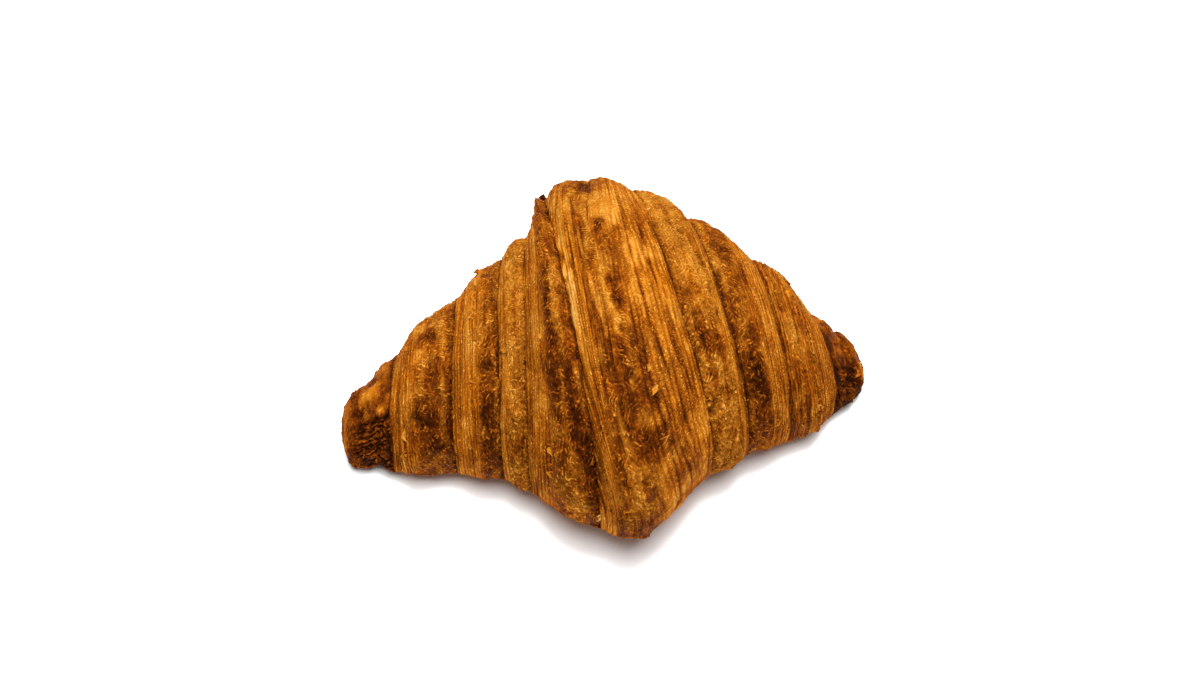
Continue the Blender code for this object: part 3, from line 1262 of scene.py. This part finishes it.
def closed_shell(name: str, points: Array, crust: Crust) -> bpy.types.Object:
    """A shell over a grid that closes round the roll, with a point at each end.

    In the bake the grid is cut into strips of columns, laid one above the other, so
    that a texel covers about as much across the wrap as round it.

    Args:
        name: the piece's name.
        points: rows, columns and coordinates, in metres.
        crust: what varies over the grid.

    Returns:
        The shell.
    """
    rows, columns = points.shape[:2]
    index = np.arange(rows * columns).reshape(rows, columns)
    beside = np.roll(index, -1, axis=1)
    sides = np.stack((index[:-1], beside[:-1], beside[1:], index[1:]), axis=-1).reshape(-1, 4)
    left_pole = rows * columns
    left_fan = np.stack((np.full(columns, left_pole), beside[0], index[0]), axis=-1)
    right_fan = np.stack((np.full(columns, left_pole + 1), index[-1], beside[-1]), axis=-1)
    vertices = np.concatenate((points.reshape(-1, 3), points[0].mean(axis=0)[None], points[-1].mean(axis=0)[None]))

    wide = columns // BAKE_STRIPS
    column = np.arange(columns)
    left = (column % wide) / wide
    right = left + 1.0 / wide
    strip = (column // wide)[None, :]
    low = (np.arange(rows - 1) + 1.0)[:, None] / (rows + 1.0)
    high = (np.arange(rows - 1) + 2.0)[:, None] / (rows + 1.0)
    u0, u1 = (np.broadcast_to(inset(u)[None, :], (rows - 1, columns)) for u in (left, right))
    v0, v1 = ((strip + inset(v)) / BAKE_STRIPS for v in (low, high))
    side_uv = np.stack((u0, v0, u1, v0, u1, v1, u0, v1), axis=-1).reshape(-1, 2)
    middle = (u0[0] + u1[0]) / 2
    start, end = strip[0] / BAKE_STRIPS, (strip[0] + 1.0) / BAKE_STRIPS
    first = (strip[0] + inset(1.0 / (rows + 1.0))) / BAKE_STRIPS
    final = (strip[0] + inset(rows / (rows + 1.0))) / BAKE_STRIPS
    left_uv = np.stack((middle, start, u1[0], first, u0[0], first), axis=-1).reshape(-1, 2)
    right_uv = np.stack((middle, end, u0[0], final, u1[0], final), axis=-1).reshape(-1, 2)

    shares = {
        share: np.concatenate((values.ravel(), (values[0].mean(), values[-1].mean())))
        for share, values in ((name, getattr(crust, name)) for name in CRUST_SHARES)
    }
    uv = np.concatenate((side_uv, left_uv, right_uv))
    return write_mesh(name, vertices, [sides, left_fan, right_fan], shares, uv)


def inset(value: Array) -> Array:
    """A share drawn in a little from 0 and 1, so strips of the bake stay apart."""
    return 0.006 + 0.988 * value


def attach(piece: bpy.types.Object) -> None:
    """Ties a piece to the body and hides the solid that it stands for."""
    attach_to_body(piece, BODY)
    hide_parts(NODE)


# ---------------------------------------------------------------- shader maths


class Wire:
    """A socket of a node tree, with the operators of ordinary arithmetic."""

    def __init__(self, tree: bpy.types.NodeTree, socket: bpy.types.NodeSocket) -> None:
        """Keeps the tree and the socket."""
        self.tree = tree
        self.socket = socket

    def math(self, operation: str, *values: "Wire | float") -> "Wire":
        """A Math node of one operation on these values."""
        return node(self.tree, "ShaderNodeMath", {"operation": operation}, dict(enumerate(values)))

    def __add__(self, other: "Wire | float") -> "Wire":
        """The sum."""
        return self.math("ADD", self, other)

    def __radd__(self, other: float) -> "Wire":
        """The sum, number first."""
        return self.math("ADD", other, self)

    def __sub__(self, other: "Wire | float") -> "Wire":
        """The difference."""
        return self.math("SUBTRACT", self, other)

    def __rsub__(self, other: float) -> "Wire":
        """The difference, number first."""
        return self.math("SUBTRACT", other, self)

    def __mul__(self, other: "Wire | float") -> "Wire":
        """The product."""
        return self.math("MULTIPLY", self, other)

    def __rmul__(self, other: float) -> "Wire":
        """The product, number first."""
        return self.math("MULTIPLY", other, self)

    def sine(self) -> "Wire":
        """The sine of an angle in radians."""
        return self.math("SINE", self)

    def clamped(self) -> "Wire":
        """Held between 0 and 1."""
        return self.math("MINIMUM", self.math("MAXIMUM", self, 0.0), 1.0)

    def step(self, low: float, high: float) -> "Wire":
        """0 at low, 1 at high and a smooth S between."""
        settings = {"interpolation_type": "SMOOTHSTEP"}
        return node(self.tree, "ShaderNodeMapRange", settings, {"Value": self, "From Min": low, "From Max": high})


def node(tree: bpy.types.NodeTree, kind: str, settings: dict, values: dict, output: str | int = 0) -> Wire:
    """Adds a node: its settings first, then the values or links of its sockets.

    Args:
        tree: the node tree.
        kind: the node's type.
        settings: the node's own settings; stops are a colour ramp's places and colours.
        values: numbers, colours or wires, by socket name or number.
        output: the output socket to hand back.

    Returns:
        The output as a wire.
    """
    made = tree.nodes.new(kind)
    for key, value in settings.items():
        if key == "stops":
            ramp = made.color_ramp
            while len(ramp.elements) < len(value):
                ramp.elements.new(0.5)
            for element, (place, colour) in zip(ramp.elements, value):
                element.position = place
                element.color = (*colour, 1.0)
        else:
            setattr(made, key, value)
    for key, value in values.items():
        if isinstance(value, Wire):
            tree.links.new(value.socket, made.inputs[key])
        else:
            made.inputs[key].default_value = value
    return Wire(tree, made.outputs[output])


def linear(red: int, green: int, blue: int) -> tuple[float, float, float]:
    """A screen colour of 0 to 255 as linear light: the sRGB curve, undone."""
    screen = np.array((red, green, blue)) / 255.0
    light = np.where(screen <= 0.04045, screen / 12.92, ((screen + 0.055) / 1.055) ** 2.4)
    return tuple(float(value) for value in light)


# ---------------------------------------------------------------- finishes


@dataclass(frozen=True)
class CrustFinish:
    """Egg-glazed crust: two ramps from pale dough to burnt, mixed by warmth.

    speckle_size, grain_size: sizes of the fine colour speckle and of the bump, in metres
    bead_size, clump_size: spacing of the beads, lightened as painted glints, and size of the clumps they come in
    fold_field, fold_count: size of the noise whose level lines are the fine folds, and
        how many folds there are from its lowest level to its highest
    """

    golden: tuple = (
        (0.00, linear(242, 197, 118)),
        (0.20, linear(226, 165, 74)),
        (0.40, linear(201, 134, 46)),
        (0.58, linear(161, 97, 24)),
        (0.75, linear(113, 62, 11)),
        (0.88, linear(75, 37, 6)),
        (1.00, linear(40, 19, 5)),
    )
    ruddy: tuple = (
        (0.00, linear(240, 176, 78)),
        (0.20, linear(224, 144, 36)),
        (0.40, linear(197, 113, 18)),
        (0.58, linear(155, 80, 12)),
        (0.75, linear(103, 47, 8)),
        (0.88, linear(67, 27, 5)),
        (1.00, linear(34, 14, 5)),
    )
    speckle_size: float = 0.0006
    grain_size: float = 0.00036
    bead_size: float = 0.0008
    clump_size: float = 0.0026
    fold_pitch: float = 0.0008
    fold_field: float = 0.0024
    fold_bend: float = 2.5
    fold_ways: tuple = ((0.35, 0.75, -0.55), (-0.65, 0.60, -0.45))
    speckle: float = 0.8
    grain: float = 0.7
    painted_glint: float = 0.5
    fold_highlight: float = 0.43
    crinkle_size: float = 0.0021
    glaze: float = 0.12
    roughness: float = 0.54
    gloss_share: float = 0.22
    bump_distance: float = 0.0004
    bump_strength: float = 0.8

    def material(self) -> bpy.types.Material:
        """The crust's material, made once.

        Returns:
            The material.
        """
        made = bpy.data.materials.get("glazed_crust")
        if made is not None:
            return made
        made = bpy.data.materials.new("glazed_crust")
        made.use_nodes = True
        tree = made.node_tree
        tree.nodes.clear()
        browning, gloss, warmth, beaded, creased = (
            node(tree, "ShaderNodeAttribute", {"attribute_name": name}, {}, "Fac") for name in CRUST_SHARES
        )
        place = node(tree, "ShaderNodeTexCoord", {}, {}, "Object")
        speckle = node(tree, "ShaderNodeTexNoise", {}, {
            "Vector": place, "Scale": 1.0 / self.speckle_size, "Detail": 3.0, "Roughness": 0.7,
        })
        grain = node(tree, "ShaderNodeTexNoise", {}, {
            "Vector": place, "Scale": 1.0 / self.grain_size, "Detail": 2.0, "Roughness": 0.6,
        })
        cells = node(tree, "ShaderNodeTexVoronoi", {}, {"Vector": place, "Scale": 1.0 / self.bead_size})
        clumps = node(tree, "ShaderNodeTexNoise", {}, {"Vector": place, "Scale": 1.0 / self.clump_size, "Detail": 1.0})
        # Beads: painted glints in the colour, and also raised in the bump.
        glint_beads = (1.0 - cells.step(0.12, 0.42)) * clumps.step(0.42, 0.56) * beaded
        waves = self.folds(tree, place) * 0.5 + 0.5
        field = node(tree, "ShaderNodeTexNoise", {}, {
            "Vector": place, "Scale": 1.0 / self.crinkle_size, "Detail": 1.0, "Distortion": 0.5,
        })
        crinkle = field.step(0.40, 0.5) * (1.0 - field.step(0.5, 0.60))
        # Squiggles: painted highlights on fine folds in the colour, and also raised in the bump.
        squiggles = (waves * waves * (0.35 + crinkle) - 0.21) * creased
        pale = beaded * 0.7 + 0.3 - creased * 0.2
        shade = browning + ((speckle - 0.5) * self.speckle + (grain - 0.5) * self.grain) * pale
        shade = shade - glint_beads * self.painted_glint - squiggles * self.fold_highlight
        shade = shade.clamped()
        golden = node(tree, "ShaderNodeValToRGB", {"stops": self.golden}, {"Fac": shade})
        ruddy = node(tree, "ShaderNodeValToRGB", {"stops": self.ruddy}, {"Fac": shade})
        colour = node(tree, "ShaderNodeMix", {"data_type": "RGBA"}, {
            "Factor": warmth, 6: golden, 7: ruddy,
        }, 2)
        roughness = (self.roughness - gloss * self.gloss_share + (grain - 0.5) * 0.2).clamped()
        bump = node(tree, "ShaderNodeBump", {}, {
            "Height": (grain * 0.5 + speckle * 0.3) * (beaded * 0.6 + 0.4) + glint_beads * 0.5 + squiggles * 0.6,
            "Strength": self.bump_strength,
            "Distance": self.bump_distance,
        })
        shader = node(tree, "ShaderNodeBsdfPrincipled", {}, {
            "Base Color": colour,
            "Roughness": roughness,
            "Metallic": gloss * self.glaze,
            "Specular IOR Level": 0.0,
            "Normal": bump,
        })
        output = tree.nodes.new("ShaderNodeOutputMaterial")
        tree.links.new(shader.socket, output.inputs["Surface"])
        return made

    def folds(self, tree: bpy.types.NodeTree, place: Wire) -> Wire:
        """Fine wrinkles: sine waves across two directions, bent by noise.

        Slow noise picks which direction shows, and quick noise cuts the wrinkles short.

        Args:
            tree: the material's node tree.
            place: the place on the piece.

        Returns:
            -1 between wrinkles to 1 on their crests.
        """
        bend = node(tree, "ShaderNodeTexNoise", {}, {
            "Vector": place, "Scale": 1.0 / self.fold_field, "Detail": 1.0, "Roughness": 0.4,
        })
        phase = (bend - 0.5) * (2.0 * np.pi * self.fold_bend)
        waves = [
            (node(tree, "ShaderNodeVectorMath", {"operation": "DOT_PRODUCT"}, {0: place, 1: way}, "Value")
             * (2.0 * np.pi / self.fold_pitch) + phase).sine()
            for way in self.fold_ways
        ]
        slow = node(tree, "ShaderNodeTexNoise", {}, {"Vector": place, "Scale": 0.45 / self.fold_field})
        quick = node(tree, "ShaderNodeTexNoise", {}, {"Vector": place, "Scale": 1.5 / self.fold_field})
        picked = slow.step(0.46, 0.54)
        return (waves[0] * picked + waves[1] * (1.0 - picked)) * (quick.step(0.42, 0.56) * 0.9 + 0.1)

    def dress(self, piece: bpy.types.Object) -> None:
        """Gives the piece the crust's material."""
        piece.data.materials.append(self.material())


# ---------------------------------------------------------------- studio


@dataclass(frozen=True)
class Studio:
    """A pale floor, soft light and the camera.

    elevation, azimuth: the camera's direction in degrees, azimuth from the front
    distance: from the target, in metres
    """

    elevation: float = 62.0
    azimuth: float = -5.77
    distance: float = 0.46945
    target: tuple = (-0.18 * MM, 7.68 * MM, 23.0 * MM)
    lens: float = 50.0
    sensor: float = 36.0
    floor_size: float = 4.0
    key_power: float = 19.8
    key_size: float = 0.40
    key_place: tuple = (0.08, 0.12, 1.2)
    sky: float = 0.22
    wash_power: float = 19.0
    wash_size: float = 0.66
    wash_place: tuple = (0.03, -0.09, 1.1)

    def camera(self) -> None:
        """Puts the camera on its sphere round the target, looking at the target."""
        data = bpy.data.cameras.new("camera")
        data.lens = self.lens
        data.sensor_width = self.sensor
        data.dof.use_dof = False
        data.clip_start = 0.01
        camera = bpy.data.objects.new("camera", data)
        bpy.context.scene.collection.objects.link(camera)
        up, side = np.radians(self.elevation), np.radians(self.azimuth)
        back = Vector((np.sin(side) * np.cos(up), -np.cos(side) * np.cos(up), np.sin(up)))
        turn = back.to_track_quat("Z", "Y").to_matrix().to_4x4()
        camera.matrix_world = Matrix.Translation(Vector(self.target) + self.distance * back) @ turn
        bpy.context.scene.camera = camera

    def floor(self) -> bpy.types.Object:
        """A pale level floor with a faint mottle."""
        half = self.floor_size / 2
        mesh = bpy.data.meshes.new("floor")
        mesh.from_pydata([(-half, -half, 0.0), (half, -half, 0.0), (half, half, 0.0), (-half, half, 0.0)], [], [(0, 1, 2, 3)])
        floor = bpy.data.objects.new("floor", mesh)
        bpy.context.scene.collection.objects.link(floor)
        material = bpy.data.materials.new("pale_floor")
        material.use_nodes = True
        tree = material.node_tree
        shader = tree.nodes["Principled BSDF"]
        place = node(tree, "ShaderNodeTexCoord", {}, {}, "Object")
        mottle = node(tree, "ShaderNodeTexNoise", {}, {"Vector": place, "Scale": 9.0})
        colour = node(tree, "ShaderNodeValToRGB", {"stops": (
            (0.0, (0.79, 0.79, 0.79)), (1.0, (0.82, 0.82, 0.82)),
        )}, {"Fac": mottle})
        tree.links.new(colour.socket, shader.inputs["Base Color"])
        shader.inputs["Roughness"].default_value = 0.85
        shader.inputs["Specular IOR Level"].default_value = 0.2
        mesh.materials.append(material)
        return floor

    def lamp(self, name: str, place: tuple, size: float, power: float) -> bpy.types.Object:
        """A round area lamp that faces the origin.

        Args:
            name: the lamp's name.
            place: where it hangs, in metres.
            size: its width in metres.
            power: its power in watts.

        Returns:
            The lamp.
        """
        data = bpy.data.lights.new(name, "AREA")
        data.shape = "DISK"
        data.size = size
        data.energy = power
        lamp = bpy.data.objects.new(name, data)
        bpy.context.scene.collection.objects.link(lamp)
        spot = Vector(place)
        lamp.matrix_world = Matrix.Translation(spot) @ spot.to_track_quat("Z", "Y").to_matrix().to_4x4()
        return lamp

    def light(self, floor: bpy.types.Object) -> None:
        """A large soft lamp behind on the left, a wash for the floor, and a pale sky."""
        self.lamp("key", self.key_place, self.key_size, self.key_power)
        wash = self.lamp("floor_wash", self.wash_place, self.wash_size, self.wash_power)
        only_floor = bpy.data.collections.new("washed")
        only_floor.objects.link(floor)
        wash.light_linking.receiver_collection = only_floor
        world = bpy.data.worlds.new("sky")
        world.use_nodes = True
        background = world.node_tree.nodes["Background"]
        background.inputs["Color"].default_value = (1.0, 1.0, 1.0, 1.0)
        background.inputs["Strength"].default_value = self.sky
        bpy.context.scene.world = world
        bpy.context.scene.view_settings.view_transform = "Standard"

    def build(self) -> None:
        """Floor, light and camera."""
        self.light(self.floor())
        self.camera()


# ---------------------------------------------------------------- the croissant


WRAPS = (
    TipWrap("tip_left", 0, 1, End.TIP, End.TUCKED, 100, tread_brown=0.72, warmth=0.8, lump=0.5,
            blister=0.45, wrinkle=0.15, streaks=0.0, film_bias=0.1, flap_edge=22.0, pleat_brown=0.20, patches=(
        Patch(-0.7, -58, 0.42, 30, 0.0, -2.6), Patch(0.55, -60, 0.3, 24, 0.0, 0.3), Patch(0.25, -8, 0.28, 9, -0.42),
        Patch(0.75, 17, 0.15, 6, -0.34), Patch(0.0, 8, 0.25, 5, 0.16), Patch(0.5, -40, 0.5, 10, -0.10),
        Patch(-0.95, 60, 0.30, 60, -0.50),
    )),
    Wrap("left_wrap_1", 1, 2, End.CUT, End.TUCKED, 200, puff=-1.2, patches=(
        Patch(0.5, -75, 0.8, 24, 0.0, -1.0),
        Patch(0.53, -5, 0.09, 5, -0.30), Patch(0.52, -33, 0.09, 9, -0.26), Patch(0.62, -18, 0.10, 6, 0.14),
        Patch(0.67, 9, 0.12, 8, 0.10), Patch(0.66, 44, 0.09, 7, 0.30), Patch(0.75, 63, 0.12, 8, 0.26),
        Patch(0.55, 30, 0.14, 8, 0.06),
    )),
    Wrap("left_wrap_2", 2, 3, End.CUT, End.TUCKED, 300, puff=-0.8, edge_brown=0.485, patches=(
        Patch(0.5, -75, 0.8, 24, 0.0, -1.0), Patch(0.76, 4, 0.10, 5, 0.10), Patch(0.74, 17, 0.10, 5, 0.22), Patch(0.68, 40, 0.10, 7, 0.40),
        Patch(0.74, 60, 0.14, 12, 0.18), Patch(0.75, -30, 0.14, 14, 0.06),
    )),
    Wrap("left_wrap_3", 3, 4, End.CUT, End.TUCKED, 400, tread_brown=0.62, film_bias=-0.35, patches=(
        Patch(0.6, 7, 0.12, 5, 0.16), Patch(0.4, 30, 0.14, 22, -0.14), Patch(0.7, 66, 0.2, 10, 0.10),
        Patch(0.3, -75, 0.9, 24, 0.0, -1.2),
    )),
    # Its darker patches from 2 to 58 degrees, beside the middle wrap's foot, are partly painted shadow of the middle
    # wrap's edge.
    Wrap("left_wrap_4", 4, 5, End.CUT, End.TUCKED, 500, tread_brown=0.62, film_bias=0.1, patches=(
        Patch(0.25, -78, 0.4, 22, 0.0, -1.6), Patch(0.55, 30, 0.07, 9, 0.26),
        Patch(0.6, -45, 0.15, 20, 0.14), Patch(0.55, 2, 0.08, 13, 0.30), Patch(0.62, 18, 0.08, 9, 0.14),
        Patch(0.76, 38, 0.08, 14, 0.44), Patch(0.9, 58, 0.08, 12, 0.40), Patch(0.5, 40, 0.08, 14, 0.12),
    )),
    Wrap("middle_wrap", 5, 7, End.CUT, End.CUT, 600, puff=-0.9, streaks=0.75, line_pitch=1.05, line_depth=0.30,
         line_contrast=0.8, bend=0.8, lean=12.0, band_pitch=3.2, band_depth=0.55, band_contrast=0.6,
         band_share=0.7, groove_brown=0.17, row_mm=0.21, column_mm=0.36, patches=(
        Patch(0.065, -8, 0.04, 20, -0.80), Patch(0.62, -12, 0.10, 10, 0.06), Patch(0.47, 1, 0.03, 5, -0.30), Patch(0.51, 8, 0.03, 4, -0.20),
        Patch(0.83, -6, 0.025, 9, -0.22), Patch(0.885, 13, 0.025, 9, -0.24), Patch(0.60, -32, 0.13, 9, -0.32),
        Patch(0.48, -23, 0.05, 6, 0.20), Patch(0.68, -19, 0.05, 4, 0.14), Patch(0.57, -2, 0.035, 5, 0.18),
        Patch(0.72, -1, 0.05, 6, -0.14), Patch(0.65, 17, 0.05, 8, 0.26), Patch(0.37, 17, 0.06, 9, 0.14),
        Patch(0.5, 31, 0.10, 8, 0.12), Patch(0.83, 50, 0.05, 10, 0.22), Patch(0.66, 52, 0.05, 7, 0.14),
        Patch(0.48, -52, 0.08, 4, 0.30), Patch(0.2, 62, 0.10, 20, -0.06), Patch(0.80, -5, 0.09, 45, 0.08), Patch(0.70, 42, 0.06, 13, 0.30),
        Patch(0.36, 4, 0.04, 12, -0.30), Patch(0.77, -13, 0.05, 6, -0.24), Patch(0.51, 24, 0.05, 7, 0.20),
        Patch(0.5, 66, 0.08, 12, -0.24), Patch(0.07, 54, 0.05, 12, 0.20),
    )),
    Wrap("right_wrap_1", 7, 8, End.TUCKED, End.CUT, 700, tread_brown=0.615, film_bias=-0.2, cloud=0.14, patches=(
        Patch(0.6, -22, 0.25, 6, 0.12), Patch(0.4, 10, 0.2, 10, -0.08), Patch(0.4, 66, 0.2, 12, -0.14),
        Patch(0.75, -8, 0.12, 7, 0.16), Patch(0.2, 22, 0.12, 9, 0.12), Patch(0.95, 14, 0.06, 34, 0.24),
    )),
    Wrap("right_wrap_2", 8, 9, End.TUCKED, End.CUT, 800, puff=-0.5, patches=(
        Patch(0.35, -25, 0.2, 10, 0.10), Patch(0.6, -8, 0.12, 6, 0.12), Patch(0.3, 30, 0.16, 12, 0.12),
        Patch(0.35, 46, 0.16, 10, 0.34), Patch(0.75, 5, 0.1, 16, -0.06),
    )),
    Wrap("right_wrap_3", 9, 10, End.TUCKED, End.CUT, 900, puff=-0.5, tread_brown=0.60, streaks=0.95,
         streak_bias=0.35, line_contrast=1.2),
    TipWrap("tip_right", 10, 11, End.TUCKED, End.TIP, 1000, tread_brown=0.74, warmth=0.8, lump=0.4,
            blister=0.3, wrinkle=0.15, streaks=0.0, film_bias=0.1, flap_edge=26.0, pleat_brown=0.17, pleat_shading=0.5,
            pleat_depth=0.6, patches=(
        Patch(0.6, 86, 0.5, 22, 0.0, 2.2), Patch(1.85, 50, 0.2, 60, -0.50), Patch(0.7, 4, 0.3, 9, -0.16),
        Patch(0.5, 36, 0.3, 6, -0.12),
    )),
)


FLAKES = Flakes(leaves=(
    Leaf(5.06, -70.0, -1, 5.2, 1.6, 1.7, 0.86, 0.7),
    Leaf(4.93, 90.0, -1, 2.2, 1.4, 0.8, 0.15, 0.2), Leaf(4.96, 100.0, -1, 1.8, 1.2, 0.9, 0.95, 0.5),
    Leaf(11.15, 42.0, 1, 4.4, 2.0, -0.2, 0.60, 0.8), Leaf(10.2, 96.0, 1, 2.4, 1.2, 0.8, 0.85, 0.6),
))


def main() -> None:
    """Builds the studio and the croissant, piece by piece, and keeps its size."""
    logging.basicConfig(level=logging.INFO, format="%(name)s: %(message)s")
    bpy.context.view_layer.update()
    Studio().build()
    low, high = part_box(NODE)
    roll = Roll(Vector(low), Vector(high))
    finish = CrustFinish()
    fineness = 1.0
    for wrap in WRAPS:
        piece = wrap.build(roll, finish, fineness)
        LOG.info("%s: %d faces", piece.name, len(piece.data.polygons))
    flakes = FLAKES.build(roll, finish)
    LOG.info("%s: %d faces", flakes.name, len(flakes.data.polygons))


if __name__ == "__main__":
    main()
